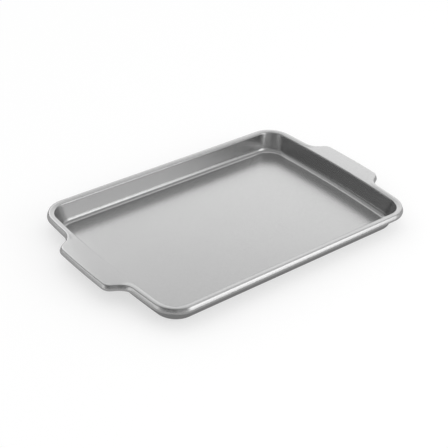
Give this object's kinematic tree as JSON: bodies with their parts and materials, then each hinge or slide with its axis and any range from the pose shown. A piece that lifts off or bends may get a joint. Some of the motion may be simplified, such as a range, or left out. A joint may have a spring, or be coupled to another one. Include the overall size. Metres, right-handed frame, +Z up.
{
  "type": "cookie sheet",
  "caption": "Shallow rectangular baking tray of coated sheet steel with leaning walls, a rim rolled round a wire and a flat handle tab at each short end.",
  "frame": {"origin": "middle of the flat underside, on the surface the tray stands on", "axes": "+Z up out of the tray's mouth, +X along its length towards one handle tab, +Y across its width"},
  "size_m": [0.443, 0.2734, 0.028],
  "materials": {
    "coated_steel": "satin grey metallic nonstick coating on pressed sheet steel",
    "wire_steel": "plain drawn steel wire"
  },
  "bodies": {
    "root": {"tray_body": "coated_steel", "rim_wire": "wire_steel"}
  },
  "joints": []
}
